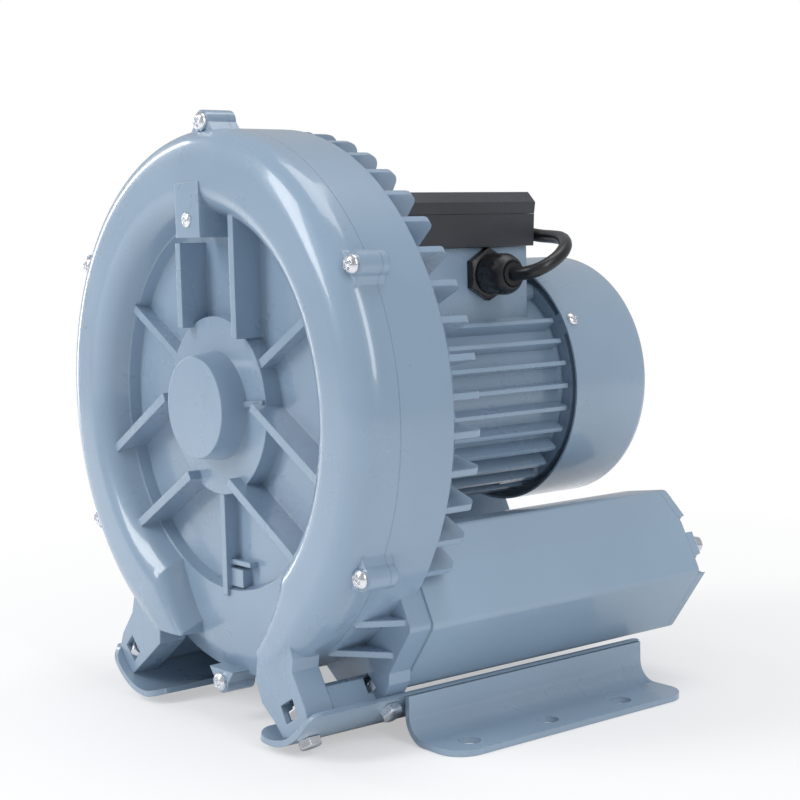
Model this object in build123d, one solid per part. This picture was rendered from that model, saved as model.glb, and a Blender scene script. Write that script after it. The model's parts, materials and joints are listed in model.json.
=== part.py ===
from build123d import *
import math
import os

# Side-channel blower: an impeller in a ring-shaped channel, driven by a finned motor,
# with two silencers beside the motor and two foot rails below.
# Working frame: the shaft is the Y axis, the screw lugs of the cover face -Y at station 0, Z is up.
# Every piece is moved once, by PLACE, so that the blower stands on Z = 0 with the origin
# at the middle of its foot holes. Lengths are millimetres and angles are degrees.

# Overall layout
axis_height = 158.0
foot_mid_y = 112.0
PLACE = Pos(0, -foot_mid_y, axis_height)
ground_z = -axis_height

# Clearances
fit_gap = 0.03
seat_gap = 0.1
bearing_gap = 0.5
rotor_gap = 0.6

# Blower head, stations along the shaft
ring_r = 135.0
wall = 4.0
crest_y = -9.5
seam_y = 12.0
floor_y = 11.5
cover_plate = 4.0
flat_y = 5.5
band_end_y = 42.0
fin_end_y = 56.0
fin_tip_y = 61.5

# Cover
shoulder_r = 15.0
crest_w = 36.0
crest_slope_w = 9.0
flat_land = 2.0
crest_in_r = ring_r - crest_w
recess_r = crest_in_r - crest_slope_w
flat_in_r = recess_r + flat_land
rim_chamfer = (12.0, 5.0)
channel_w = 31.0
channel_in_r = ring_r - channel_w
channel_round = 9.0
bulge_from = -48.0
bulge_to = 243.0
tail_left = 14.5
tail_right = 21.0
tail_cut_up = 16.5
tail_cut_z = tail_cut_up - ring_r
tail_w = 14.0
tail_in_r = ring_r - tail_w
tail_crest_y = -7.5
tail_round = 5.0
channel_end_land = 5.0
hub_plate_r = 44.0
hub_plate_y = 3.0
boss_root_r = 27.0
boss_tip_r = 25.0
boss_front_y = -10.0
boss_round = 1.5
nut_room_r = 21.5
nut_room_front_y = -5.5
plug_land = 4.0
plug_r = channel_in_r - plug_land
rib_t = 4.5
rib_pair_half = 22.0
rib_pair_y = -3.5
rib_single_y = 4.0
rib_pair_angles = (210.0, 330.0)
rib_top = ((-21.0, 38.0, recess_r - 10.0), (28.0, 34.0, recess_r + 3.0))
rib_single_angles = (30.0, 150.0, 270.0)
grip_rib_angle = 5.0
grip_rib_y = 1.5
grip_rib_t = 3.0
pad_w = 22.0
pad_y = -10.0
pad_over = 10.0
pad_len = 26.5
pad_screw_up = 8.5
pad_high = crest_in_r + pad_over
pad_low = pad_high - pad_len
pad_screw_z = pad_low + pad_screw_up
foot_block = (13.0, 9.0, 6.5)
foot_ledge = (19.0, 2.5, 7.0)
foot_ledge_up = 12.0
foot_ledge_z = foot_ledge_up - recess_r

# Screw lugs round the head
lug_out = 3.0
lug_pitch_r = ring_r + lug_out
lug_r = 6.0
lug_root_half = 11.0
lug_end_y = 16.0
lug_angles = (30.0, 90.0, 150.0, 210.0, 270.0, 330.0)
lug_screw_r = 2.5
lug_screw_len = 13.5
screw_head_r = 4.6
pad_screw_head_r = 3.6
pad_screw_r = 2.0
pad_screw_len = 9.0
screw_head_h = 3.6

# Foot rails and legs, X and Z in the working frame
rail_t = 3.0
rail_lift = 3.0
rail_arc_x = 59.0
rail_arc_r = 38.0
rail_arc_from = -20.0
rail_arc_to = 60.0
rail_wall_x = 95.0
rail_crown_z = 24.0
rail_nose_r = 9.0
rail_bend_r = 10.0
rail_tip_x = 130.0
rail_front_y = -12.0
rail_wing_y = 44.0
rail_end_y = 200.0
rail_corner_r = 14.0
foot_hole_r = 5.5
foot_hole_x = 117.0
foot_hole_pitch = 50.0
leg_front_y = -7.5
leg_back_y = 7.5
leg_bolt_r = 3.0
leg_sole = 7.0
leg_slot = (11.0, 9.0)
hex_head_af = 10.0
hex_head_h = 4.0
hex_nut_h = 5.0
cover_bolt_y = -2.0
cover_bolt_right = 30.0
cover_bolt_left = 45.0
leg_reach_right = 20.0
leg_reach_left = 15.0
rear_leg_y = (33.0, 46.0)
rear_bolt_y = 37.5
rear_bolt_angle = 50.0
rear_leg_reach = 11.0
side_plate_t = 5.0
side_plate_top = (78.0, -127.0)
gusset_front_y = 14.0
gusset_z = (39.0 - ring_r, 22.0 - ring_r)
gusset_t = 3.0

# Impeller
impeller_r = ring_r - wall - bearing_gap
vane_count = 40
vane_t = 2.2
rim_overlap = 3.0
rim_in_r = channel_in_r - rim_overlap
pocket_in_r = channel_in_r + rim_overlap
rim_web_t = 3.0
impeller_web_y = (17.0, 22.0)
impeller_width = 15.6
impeller_hub_r = 19.0
impeller_hub_front = 4.0

# Shaft and bearings
shaft_front_y = 5.0
shaft_nose_r = 7.0
seal_journal_r = 8.0
bearing_id_r = 8.5
bearing_od_r = 20.0
bearing_w = 12.0
race_split_r = 13.2
race_split_gap = 0.4
core_journal_r = 12.0
shoulder_journal_r = 11.0
fan_journal_r = 6.5
shaft_end_y = 224.0
key_w = 5.0
key_h = 5.0
key_len = 18.0
seal_w = 5.4
seal_od_r = 15.0
front_bearing_y = 42.0
rear_bearing_y = 178.4

# Motor
frame_r = 54.0
frame_wall = 5.4
frame_fin_h = 8.0
frame_bore_r = frame_r - frame_wall
frame_fin_r = frame_r + frame_fin_h
frame_fin_t = 2.4
frame_fin_pitch = 11.25
frame_fin_low = -213.75
frame_fin_high = 33.75
frame_end_y = 186.0
spigot_len = 4.0
core_front_y = 82.0
core_end_y = 152.0
air_gap = 0.6
stator_w = 18.6
rotor_r = frame_bore_r - stator_w
winding_len = 14.0
winding_in_r = rotor_r + 3.0
winding_room = 2.6
winding_out_r = frame_bore_r - winding_room
cage_len = 6.0
cage_w = 5.5
shield_t = 8.0
shield_over = 7.0
shield_r = frame_r + shield_over
shield_hub_r = 26.0
shield_screw_angles = (60.0, 120.0, 240.0, 300.0)
shield_screw_out = 2.5
shield_screw_pitch_r = frame_r + shield_screw_out
shield_screw_r = 2.0
shield_screw_len = 22.0
cowl_air = 5.0
cowl_r = frame_fin_r + cowl_air
cowl_t = 1.2
cowl_front_y = 184.0
cowl_end_y = 240.0
cowl_round = 8.0
cowl_screw_angles = (31.0, 149.0, 250.0)
cowl_screw_y = 190.0
cowl_slot_count = 24
fan_blades = 8
fan_room = 8.0
fan_r = cowl_r - fan_room
fan_y = (197.0, 215.0)

# Terminal housing and capacitor box on top of the motor
base_half_x = 40.0
base_low_z = 28.0
base_y = (62.0, 174.0)
base_wall = 4.0
base_floor_up = 3.0
base_room_h = 17.0
base_floor_z = frame_r + base_floor_up
base_top_z = base_floor_z + base_room_h
box_half_x = 44.0
box_lid_half_x = 46.0
box_wall_h = 17.0
box_lid_h = 11.5
box_split_z = base_top_z + box_wall_h
box_top_z = box_split_z + box_lid_h
box_y = (63.0, 175.6)
box_wall = 2.5

# Cable gland and lead
gland_y = 144.5
gland_up = 3.0
gland_z = base_floor_z + gland_up
gland_af = 24.0
gland_hex_t = 5.0
gland_thread_r = 9.9
gland_thread_len = 11.0
dome_end_x = 62.0
dome_r = 10.8
seal_plug_r = 6.0
lead_r = 3.5
grommet_up = 6.5
grommet_at = (27.5, base_top_z + grommet_up)
grommet_t = 2.6
grommet_r = 4.6

# Silencers
muffler_front_y = 46.0
muffler_end_y = 227.0
muffler_cap_t = 5.0
muffler_wall = 3.0
muffler_round = 5.0
muffler_mid = (75.0, -99.0)
muffler_outline = (
    (84.0, -59.0),
    (100.0, -74.0),
    (113.0, -99.0),
    (88.0, -133.0),
    (61.0, -141.0),
    (42.0, -127.0),
    (36.0, -96.0),
    (53.0, -63.0),
)
port_r = 19.5
port_boss_r = 24.0
port_boss_len = 5.0
duct_r = 12.5
liner_r = 22.0
liner_t = 3.0
flange_front_y = 33.0
duct_front_y = 36.0
cap_screw_r = 2.5
cap_notch_r = 5.0


def draw(*points):
    """Closed straight-sided outline."""
    return make_face(Polyline(*points, close=True))


def along_y(sketch, y_from, y_to):
    """Extrude an outline drawn in X and Z from one station to another."""
    plane = Plane(origin=(0, y_to, 0), x_dir=(1, 0, 0), z_dir=(0, -1, 0))
    return extrude(plane * sketch, amount=y_to - y_from)


def turned(*points):
    """Revolve an outline of (radius, station) points about the shaft."""
    return revolve(draw(*points), axis=Axis.Y)


def ring(r_in, r_out, y_from, y_to):
    """Plain ring about the shaft."""
    return turned((r_in, y_from), (r_out, y_from), (r_out, y_to), (r_in, y_to))


def disc(r, y_from, y_to):
    """Plain disc about the shaft."""
    return turned((0, y_from), (r, y_from), (r, y_to), (0, y_to))


def at_angle(angle, solid):
    """Turn a solid modelled on +X to an angle measured from +X towards +Z."""
    return Rot(0, -angle, 0) * solid


def rod(x, z, r, y_from, y_to):
    """Round bar or hole parallel to the shaft."""
    return along_y(Pos(x, z) * Circle(r), y_from, y_to)


def both_sides(solid):
    """The solid and its mirror image on the other side of the shaft."""
    return [solid, mirror(solid, about=Plane.YZ)]


def save(name, *solids):
    """Move the solids of one node to their final place and write them."""
    placed = [PLACE * s for solid in solids for s in solid.solids()]
    node = placed[0] if len(placed) == 1 else Compound(placed)
    export_step(node, os.path.join("parts", name + ".step"))


def channel_section(r_in, r_out, y_mouth, y_bottom, radius):
    """Section of the side channel with rounded bottom corners."""
    side = FilletPolyline((r_in, y_mouth), (r_in, y_bottom), (r_out, y_bottom), (r_out, y_mouth), radius=radius)
    return make_face(side + Line((r_out, y_mouth), (r_in, y_mouth)))


def channel_cut(y_mouth, y_bottom):
    """The hollow channel, open towards the impeller, between its two ends."""
    section = channel_section(channel_in_r, ring_r - wall, y_mouth, y_bottom, channel_round)
    arc = bulge_to - bulge_from - 2 * channel_end_land
    return at_angle(bulge_to - channel_end_land, revolve(section, axis=Axis.Y, revolution_arc=arc))


def lug(y_from, y_to):
    """Screw lug on +X that leans against the ring."""
    root_x = ring_r - wall + 1
    flank = draw((root_x, -lug_root_half), (lug_pitch_r, -lug_r), (lug_pitch_r, lug_r), (root_x, lug_root_half))
    return along_y(flank + Pos(lug_pitch_r, 0) * Circle(lug_r), y_from, y_to)


def around(angles, solid):
    """Copies of one solid at several angles."""
    return [at_angle(angle, solid) for angle in angles]


# Cover

def bulge_section(crest_in, crest, radius):
    """Section of the raised channel between its inner foot and the rim."""
    foot = crest_in - (crest_in_r - recess_r)
    radius = min(radius, (ring_r - crest_in) * 0.45)
    side = FilletPolyline((foot, floor_y), (crest_in, crest), (ring_r, crest), (ring_r, seam_y), radius=radius)
    return make_face(side + Polyline((ring_r, seam_y), (foot, seam_y), (foot, floor_y)))


def cover_bulge():
    """Raised side channel whose two ends narrow towards the rim."""
    section = bulge_section(crest_in_r, crest_y, shoulder_r)
    body = at_angle(bulge_to, revolve(section, axis=Axis.Y, revolution_arc=bulge_to - bulge_from))
    ends = []
    for start, reach in ((bulge_to, tail_left), (bulge_from, -tail_right)):
        cuts = []
        for share in (0.0, 0.33, 0.66, 1.0):
            crest_in = crest_in_r + share * (tail_in_r - crest_in_r)
            crest = crest_y + share * (tail_crest_y - crest_y)
            radius = shoulder_r + share * (tail_round - shoulder_r)
            cuts.append(at_angle(start + share * reach, bulge_section(crest_in, crest, radius)))
        ends.append(loft(cuts))
    low = along_y(Pos(-ring_r / 2, tail_cut_z - ring_r / 2) * Rectangle(ring_r, ring_r), crest_y - 1, seam_y + 1)
    return body + ends - low


def on_trough(r, angle):
    """Point at a radius and an angle about the centre of the rail's trough, 0 straight down."""
    turn = math.radians(angle)
    return (rail_arc_x + r * math.sin(turn), ground_z + rail_lift + rail_arc_r - r * math.cos(turn))


def leg_outline(middle, reach, *side):
    """Leg whose curved sole sits in the rail's trough, up to the given side points."""
    sole_r = rail_arc_r - rail_t - seat_gap
    first, last = on_trough(sole_r, middle - reach), on_trough(sole_r, middle + reach)
    sole = ThreePointArc(first, on_trough(sole_r, middle), last)
    return make_face(sole + Polyline(last, *side, first))


def cover_legs():
    """The right leg reaches further inwards than the left one."""
    right = leg_outline(
        cover_bolt_right, leg_reach_right, (84, -134), (74, -118), (75, -112), (70, -98), (46, -112), (43, -127),
        (48, -138), (57, -144),
    )
    left = leg_outline(
        cover_bolt_left, leg_reach_left, (86, -127), (75, -114), (70, -98), (45, -108), (47, -126)
    )
    return [along_y(right, leg_front_y, leg_back_y), mirror(along_y(left, leg_front_y, leg_back_y), about=Plane.YZ)]


def leg_bolt_frame(y, angle):
    """Origin on the trough's centre line with Z along the leg bolt, pointing down and outwards."""
    x, z = on_trough(0, 0)
    turn = math.radians(angle)
    return Plane(origin=(x, y, z), x_dir=(0, 1, 0), z_dir=(math.sin(turn), 0, -math.cos(turn)))


def leg_cuts(y, angle, depth):
    """Nut slot and bolt hole of one leg."""
    sole_r = rail_arc_r - rail_t
    slot_mid = sole_r - leg_sole - leg_slot[1] / 2
    frame = leg_bolt_frame(y, angle)
    slot = frame * Pos(0, 0, slot_mid) * Box(depth, leg_slot[0], leg_slot[1])
    hole = frame * Pos(0, 0, sole_r - leg_sole) * Cylinder(leg_bolt_r + seat_gap, 3 * leg_sole)
    return slot + hole


def at_leg_bolts(make):
    """What make gives at the four leg bolts, each a station and an angle."""
    made = [make(cover_bolt_y, cover_bolt_right), make(rear_bolt_y, rear_bolt_angle)]
    made.append(mirror(make(cover_bolt_y, cover_bolt_left), about=Plane.YZ))
    made.append(mirror(make(rear_bolt_y, rear_bolt_angle), about=Plane.YZ))
    return made


def front_cover():
    """Cast cover: hub, ribbed recess, side channel, screw lugs and two legs."""
    back_y = floor_y + cover_plate
    rim_r = ring_r - rim_chamfer[0]
    body = turned(
        (0, boss_front_y),
        (boss_tip_r, boss_front_y),
        (boss_root_r, hub_plate_y),
        (hub_plate_r, hub_plate_y),
        (hub_plate_r + 1, floor_y),
        (recess_r, floor_y),
        (flat_in_r, flat_y),
        (rim_r, flat_y),
        (ring_r, flat_y + rim_chamfer[1]),
        (ring_r, seam_y),
        (plug_r, seam_y),
        (plug_r, back_y),
        (nut_room_r, back_y),
        (nut_room_r, nut_room_front_y),
        (0, nut_room_front_y),
    )
    pair_end = math.sqrt((crest_in_r - 2) ** 2 - rib_pair_half**2)
    start = hub_plate_r - 4
    pair_start = math.sqrt(start**2 - rib_pair_half**2)
    ribs = []
    for side in (-rib_pair_half, rib_pair_half):
        plate = Pos((pair_start + pair_end) / 2, side) * Rectangle(pair_end - pair_start, rib_t)
        ribs += around(rib_pair_angles, along_y(plate, rib_pair_y, floor_y + 1))
    single_end = crest_in_r - 4
    plate = Pos((start + single_end) / 2, 0) * Rectangle(single_end - start, rib_t)
    ribs += around(rib_single_angles, along_y(plate, rib_single_y, floor_y + 1))
    for x, low, high in rib_top:
        ribs.append(along_y(Pos(x, (low + high) / 2) * Rectangle(rib_t, high - low), rib_pair_y, floor_y + 1))
    grip = Pos((boss_tip_r + hub_plate_r) / 2 - 1, 0) * Rectangle(hub_plate_r - boss_tip_r, grip_rib_t)
    ribs.append(at_angle(grip_rib_angle, along_y(grip, grip_rib_y, floor_y)))
    pad = Pos(0, (pad_low + pad_high) / 2) * Rectangle(pad_w, pad_high - pad_low)
    ribs.append(along_y(pad, pad_y, floor_y + 1))
    w, h, y = foot_block
    ribs.append(along_y(Pos(w / 2, h / 2 - recess_r) * Rectangle(w, h), y, floor_y + 1))
    w, h, y = foot_ledge
    ribs.append(along_y(Pos(w / 2, foot_ledge_z) * Rectangle(w, h), y, floor_y + 1))
    body = body + cover_bulge() + ribs + around(lug_angles, lug(0, seam_y)) + cover_legs()
    holes = [rod(0, 0, nut_room_r, nut_room_front_y, back_y + 1)]
    holes += around(lug_angles, rod(lug_pitch_r, 0, lug_screw_r + seat_gap, -1, seam_y + 1))
    holes += around(lug_angles, rod(lug_pitch_r, 0, screw_head_r + 0.3, crest_y - 1, 0))
    holes += at_leg_bolts(lambda y, angle: leg_cuts(y, angle, leg_back_y - leg_front_y + 2))[0::2]
    holes.append(rod(0, pad_screw_z, pad_screw_r + seat_gap, pad_y - 1, pad_y + pad_screw_len + 1))
    body = body - channel_cut(seam_y + 1, crest_y + wall) - holes
    return body


def pan_screw(head_r, head_h, shank_r, length):
    """Screw along +Y whose head sits in front of station 0."""
    head = turned(
        (0, -head_h), (head_r * 0.55, -head_h), (head_r * 0.9, -head_h * 0.6), (head_r, -head_h * 0.25),
        (head_r, 0), (0, 0),
    )
    return head + disc(shank_r, 0, length)


def cover_screws():
    screw = pan_screw(screw_head_r, screw_head_h, lug_screw_r, lug_screw_len)
    return around(lug_angles, Pos(lug_pitch_r, 0, 0) * screw)


def pad_screw():
    return Pos(0, pad_y, pad_screw_z) * pan_screw(pad_screw_head_r, 2.2, pad_screw_r, pad_screw_len)


# Housing

def muffler_section(inset=0.0):
    """Eight-sided silencer section on the right, with rounded corners."""
    outline = draw(*muffler_outline)
    if inset:
        outline = offset(outline, amount=-inset, kind=Kind.INTERSECTION)
    return fillet(outline.vertices(), max(muffler_round - inset, 1.0))


def rear_fin():
    """Cooling fin behind the ring, with a rounded outer corner."""
    side = FilletPolyline(
        (frame_r + 4, 34), (frame_r + 4, 49), (frame_r + 14, fin_tip_y), (ring_r - 1, fin_tip_y),
        (ring_r - 1, band_end_y - 3), radius=(3, 4, 6),
    )
    face = make_face(side + Line((ring_r - 1, band_end_y - 3), (frame_r + 4, 34)))
    return extrude(face, amount=1.6, both=True)


def gusset(z):
    """Flat rib from the rim to the silencer flange, widening towards the flange."""
    rim_x = math.sqrt((ring_r - 1) ** 2 - z**2)
    section = muffler_section(3.0) & Pos(100, z) * Rectangle(100, 1)
    flange_x = section.bounding_box().max.X
    rib = make_face(Polyline(
        (rim_x - 12, gusset_front_y), (rim_x + 1, gusset_front_y), (flange_x, flange_front_y + 1),
        (rim_x - 12, flange_front_y + 1), close=True,
    ))
    return Pos(0, 0, z) * extrude(rib, amount=gusset_t / 2, both=True)


def blower_housing():
    """Rear casting: impeller chamber, rear channel, fins, bearing seat, port flanges and legs."""
    floor = seam_y + impeller_width + 2 * rotor_gap
    channel_bottom = 43.8
    body = turned(
        (shaft_nose_r + 2.5, floor),
        (ring_r - wall, floor),
        (ring_r - wall, seam_y),
        (ring_r, seam_y),
        (ring_r, band_end_y),
        (ring_r - 6, channel_bottom + wall),
        (channel_in_r, channel_bottom + wall),
        (channel_in_r - 10, floor + 8),
        (frame_r + 2, floor + 8),
        (frame_r + 2, fin_end_y),
        (frame_bore_r - seat_gap, fin_end_y),
        (frame_bore_r - seat_gap, fin_end_y + spigot_len),
        (frame_bore_r - 5, fin_end_y + spigot_len),
        (frame_bore_r - 8, floor + 9),
        (bearing_od_r + 5, floor + 9),
        (bearing_od_r + 4, front_bearing_y + bearing_w + 1),
        (bearing_od_r + fit_gap, front_bearing_y + bearing_w + 1),
        (bearing_od_r + fit_gap, front_bearing_y),
        (seal_od_r + fit_gap, front_bearing_y),
        (seal_od_r + fit_gap, front_bearing_y - seal_w - 0.2),
        (shaft_nose_r + 2.5, front_bearing_y - seal_w - 0.2),
    )
    fin_angles = [-41.25 + 7.5 * i for i in range(36)]
    lugs = around(lug_angles, lug(seam_y, lug_end_y))
    flange = along_y(muffler_section(1.0), flange_front_y, muffler_front_y)
    outline = leg_outline(rear_bolt_angle, rear_leg_reach, (94, -128), (96, -112), (80, -104), (79, -125), (74, -137))
    leg = along_y(outline, rear_leg_y[0], rear_leg_y[1])
    inner = rail_arc_r - rail_t - 1
    plate_x, plate_z = side_plate_top
    low, high = on_trough(inner, rear_bolt_angle - 12), on_trough(inner, rear_bolt_angle)
    plate = draw((plate_x - side_plate_t, plate_z), side_plate_top, high, low)
    plate = along_y(plate, leg_back_y + 1, rear_leg_y[0] + 1)
    body = body + around(fin_angles, rear_fin()) + lugs
    for z in gusset_z:
        body = body + both_sides(gusset(z))
    body = body + both_sides(flange) + both_sides(leg) + both_sides(plate)
    keep_clear = disc(ring_r - wall, seam_y - 1, floor)
    duct = rod(muffler_mid[0], muffler_mid[1], duct_r, duct_front_y, muffler_front_y + 1)
    behind = along_y(offset(muffler_section(), amount=seat_gap), muffler_front_y, fin_tip_y + 1)
    screws = around(lug_angles, rod(lug_pitch_r, 0, lug_screw_r + seat_gap, seam_y - 1, lug_screw_len + 1.5))
    cuts = [keep_clear, channel_cut(floor - 1, channel_bottom)]
    cuts += both_sides(duct) + both_sides(behind) + screws
    cuts += at_leg_bolts(lambda y, angle: leg_cuts(y, angle, rear_leg_y[1] - rear_leg_y[0] + 2))[1::2]
    return body - cuts


def leg_bolt(y, angle):
    """Hexagon bolt up through the rail into a leg."""
    head = Pos(0, 0, rail_arc_r) * extrude(RegularPolygon(hex_head_af / 2, 6, major_radius=False), hex_head_h)
    length = rail_t + leg_sole + hex_nut_h + 2.0
    return leg_bolt_frame(y, angle) * (head + Pos(0, 0, rail_arc_r - length / 2) * Cylinder(leg_bolt_r, length))


def leg_nut(y, angle):
    """Nut in the slot of a leg."""
    nut = extrude(RegularPolygon(hex_head_af / 2, 6, major_radius=False), hex_nut_h)
    nut = nut - Pos(0, 0, hex_nut_h / 2) * Cylinder(leg_bolt_r + fit_gap, 2 * hex_nut_h)
    return leg_bolt_frame(y, angle) * Pos(0, 0, rail_arc_r - rail_t - leg_sole - hex_nut_h) * nut


def nose(radius):
    """What rounds off a corner that lies at the origin, its metal towards +X and +Y."""
    corner = Pos(radius / 2 - 1, radius / 2 - 1) * Rectangle(radius + 2, radius + 2)
    return extrude(corner - Pos(radius, radius) * Circle(radius), amount=3 * rail_t, both=True)


def foot_rail(cover_bolt_angle):
    """Right rail: trough all along under the legs, outer wing only behind the head."""
    inner_r = rail_arc_r - rail_t
    middle = (rail_arc_from + rail_arc_to) / 2
    crown_z = ground_z + rail_crown_z
    under = ThreePointArc(
        on_trough(rail_arc_r, rail_arc_from), on_trough(rail_arc_r, middle), on_trough(rail_arc_r, rail_arc_to)
    )
    crown = Polyline(
        on_trough(rail_arc_r, rail_arc_to), (rail_wall_x - 0.4, crown_z - 0.6), (rail_wall_x - 2.4, crown_z),
        on_trough(inner_r, rail_arc_to),
    )
    upper = ThreePointArc(
        on_trough(inner_r, rail_arc_to), on_trough(inner_r, middle), on_trough(inner_r, rail_arc_from)
    )
    tip = Line(on_trough(inner_r, rail_arc_from), on_trough(rail_arc_r, rail_arc_from))
    trough = along_y(make_face(under + crown + upper + tip), rail_front_y, rail_end_y)
    path = FilletPolyline(
        (rail_wall_x - rail_t / 2, crown_z - 1.2),
        (rail_wall_x - rail_t / 2, ground_z + rail_t / 2),
        (rail_tip_x, ground_z + rail_t / 2),
        radius=rail_bend_r + rail_t / 2,
    )
    wing = along_y(trace(path, line_width=rail_t), rail_wing_y, rail_end_y)
    corners = [e for e in wing.edges().filter_by(Axis.Z) if e.center().X > rail_tip_x - 0.5]
    wing = fillet(corners, rail_corner_r)
    holes = [
        Pos(foot_hole_x, foot_mid_y + step * foot_hole_pitch, ground_z) * Cylinder(foot_hole_r, 4 * rail_t)
        for step in (-1, 0, 1)
    ]
    for y, angle in ((cover_bolt_y, cover_bolt_angle), (rear_bolt_y, rear_bolt_angle)):
        hole = Pos(0, 0, rail_arc_r) * Cylinder(leg_bolt_r + seat_gap, 4 * rail_t)
        holes.append(leg_bolt_frame(y, angle) * hole)
    x, z = on_trough(inner_r, rail_arc_from)
    slope = math.radians(rail_arc_from)
    holes.append(
        Plane(origin=(x, rail_front_y, z), x_dir=(math.cos(slope), 0, math.sin(slope)),
              z_dir=(-math.sin(slope), 0, math.cos(slope))) * nose(rail_nose_r)
    )
    holes.append(
        Plane(origin=(rail_wall_x - rail_t / 2, rail_front_y, crown_z), x_dir=(0, 0, -1), z_dir=(1, 0, 0))
        * nose(rail_nose_r)
    )
    return trough + wing - holes


# Rotor

def impeller():
    """Open vanes in a rim on a dished disc with a keyed hub."""
    front = seam_y + rotor_gap
    back = front + impeller_width
    mid = (front + back) / 2
    body = turned(
        (shaft_nose_r + fit_gap, impeller_hub_front),
        (impeller_hub_r - 2, impeller_hub_front),
        (impeller_hub_r, impeller_web_y[0]),
        (rim_in_r, impeller_web_y[0]),
        (rim_in_r, front),
        (rim_in_r + 3, front),
        (pocket_in_r, mid - rim_web_t),
        (impeller_r, mid - rim_web_t / 2),
        (impeller_r, mid + rim_web_t / 2),
        (pocket_in_r, mid + rim_web_t),
        (rim_in_r + 3, back),
        (rim_in_r, back),
        (rim_in_r - 2, impeller_web_y[1]),
        (impeller_hub_r + 4, impeller_web_y[1]),
        (impeller_hub_r + 2, back),
        (shaft_nose_r + fit_gap, back),
    )
    vane = Pos((rim_in_r + 2 + impeller_r - 0.1) / 2, mid, 0) * Box(
        impeller_r - 0.1 - rim_in_r - 2, impeller_width, vane_t
    )
    keyway = Pos(0, 0, shaft_nose_r) * Box(key_w + 2 * fit_gap, 4 * impeller_width, key_h + 2 * seat_gap)
    return body + around([360.0 * i / vane_count for i in range(vane_count)], vane) - keyway


def key_block(extra):
    """Key in the shaft, or the cut for it when made a little larger."""
    mid = impeller_hub_front + 2 + key_len / 2
    return Pos(0, mid, shaft_nose_r) * Box(key_w + extra, key_len + extra, key_h + extra)


def shaft():
    """Stepped shaft from the impeller to the cooling fan."""
    shoulder = front_bearing_y + bearing_w + 0.2
    body = turned(
        (0, shaft_front_y),
        (shaft_nose_r, shaft_front_y),
        (shaft_nose_r, seam_y + impeller_width + rotor_gap),
        (seal_journal_r, seam_y + impeller_width + rotor_gap),
        (seal_journal_r, front_bearing_y),
        (bearing_id_r, front_bearing_y),
        (bearing_id_r, shoulder),
        (shoulder_journal_r, shoulder),
        (shoulder_journal_r, core_front_y - 14),
        (core_journal_r, core_front_y - 14),
        (core_journal_r, core_end_y + 10),
        (shoulder_journal_r, core_end_y + 10),
        (shoulder_journal_r, rear_bearing_y - 0.2),
        (bearing_id_r, rear_bearing_y - 0.2),
        (bearing_id_r, rear_bearing_y + bearing_w + 1),
        (fan_journal_r, rear_bearing_y + bearing_w + 1),
        (fan_journal_r, shaft_end_y),
        (0, shaft_end_y),
    )
    screw_hole = rod(0, 0, 3.0 + fit_gap, shaft_front_y - 1, shaft_front_y + 16)
    return body - key_block(2 * fit_gap) - screw_hole


def impeller_washer():
    return ring(3.2, 13.0, impeller_hub_front - 2.0, impeller_hub_front - 0.05)


def impeller_screw():
    head_y = impeller_hub_front - 2.05
    head = along_y(RegularPolygon(5.0, 6, major_radius=False), head_y - 4.0, head_y)
    return head + disc(3.0, head_y, head_y + 16)


def race_outer(y):
    return ring(race_split_r, bearing_od_r, y + 0.1, y + bearing_w - 0.1)


def race_inner(y):
    return ring(bearing_id_r + fit_gap, race_split_r - race_split_gap, y + 0.1, y + bearing_w - 0.1)


def rotor_cage():
    """Cast end rings of the squirrel cage."""
    return [
        ring(rotor_r - 0.5 - cage_w, rotor_r - 0.5, core_front_y - cage_len, core_front_y),
        ring(rotor_r - 0.5 - cage_w, rotor_r - 0.5, core_end_y, core_end_y + cage_len),
    ]


def windings():
    """Two bundles of coil ends with rounded shoulders."""
    made = []
    for y, way in ((core_front_y, -1), (core_end_y, 1)):
        tip = y + way * winding_len
        made.append(
            turned(
                (winding_in_r, y), (winding_out_r, y), (winding_out_r, tip - way * 4), (winding_out_r - 4, tip),
                (winding_in_r + 4, tip), (winding_in_r, tip - way * 4),
            )
        )
    return made


# Motor

def motor_frame():
    """Finned barrel with the terminal housing cast on top."""
    front = fin_end_y
    body = ring(frame_bore_r, frame_r, front, frame_end_y)
    fin = along_y(
        draw(
            (frame_r - 1, -frame_fin_t * 0.75), (frame_fin_r, -frame_fin_t / 2),
            (frame_fin_r, frame_fin_t / 2), (frame_r - 1, frame_fin_t * 0.75),
        ),
        front,
        frame_end_y - 4,
    )
    count = round((frame_fin_high - frame_fin_low) / frame_fin_pitch) + 1
    fins = around([frame_fin_high - frame_fin_pitch * i for i in range(count)], fin)
    length = base_y[1] - base_y[0]
    mid_y = (base_y[0] + base_y[1]) / 2
    height = base_top_z - base_low_z
    block = Pos(0, mid_y, base_low_z + height / 2) * Box(2 * base_half_x, length, height)
    room_h = base_top_z - base_floor_z
    room = Pos(0, mid_y, base_floor_z + room_h / 2 + 1) * Box(
        2 * (base_half_x - base_wall), length - 2 * base_wall, room_h + 2
    )
    bosses = around(shield_screw_angles, rod(shield_screw_pitch_r, 0, 5.0, frame_end_y - 26, frame_end_y))
    pockets = []
    for side in (-1, 1):
        for z in (48, 62):
            pockets.append(Pos(side * base_half_x, base_y[0] + 14, z) * Box(5, 15, 8))
    bore = disc(frame_bore_r, front - 1, frame_end_y + 1)
    screws = around(
        shield_screw_angles, rod(shield_screw_pitch_r, 0, shield_screw_r + seat_gap, frame_end_y - 16, frame_end_y + 1)
    )
    gland_hole = Pos(base_half_x, gland_y, gland_z) * Rot(0, 90, 0) * Cylinder(
        gland_thread_r + seat_gap, 2 * (gland_thread_len + 1)
    )
    return body + fins + block + bosses - bore - room - pockets - screws - gland_hole


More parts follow.
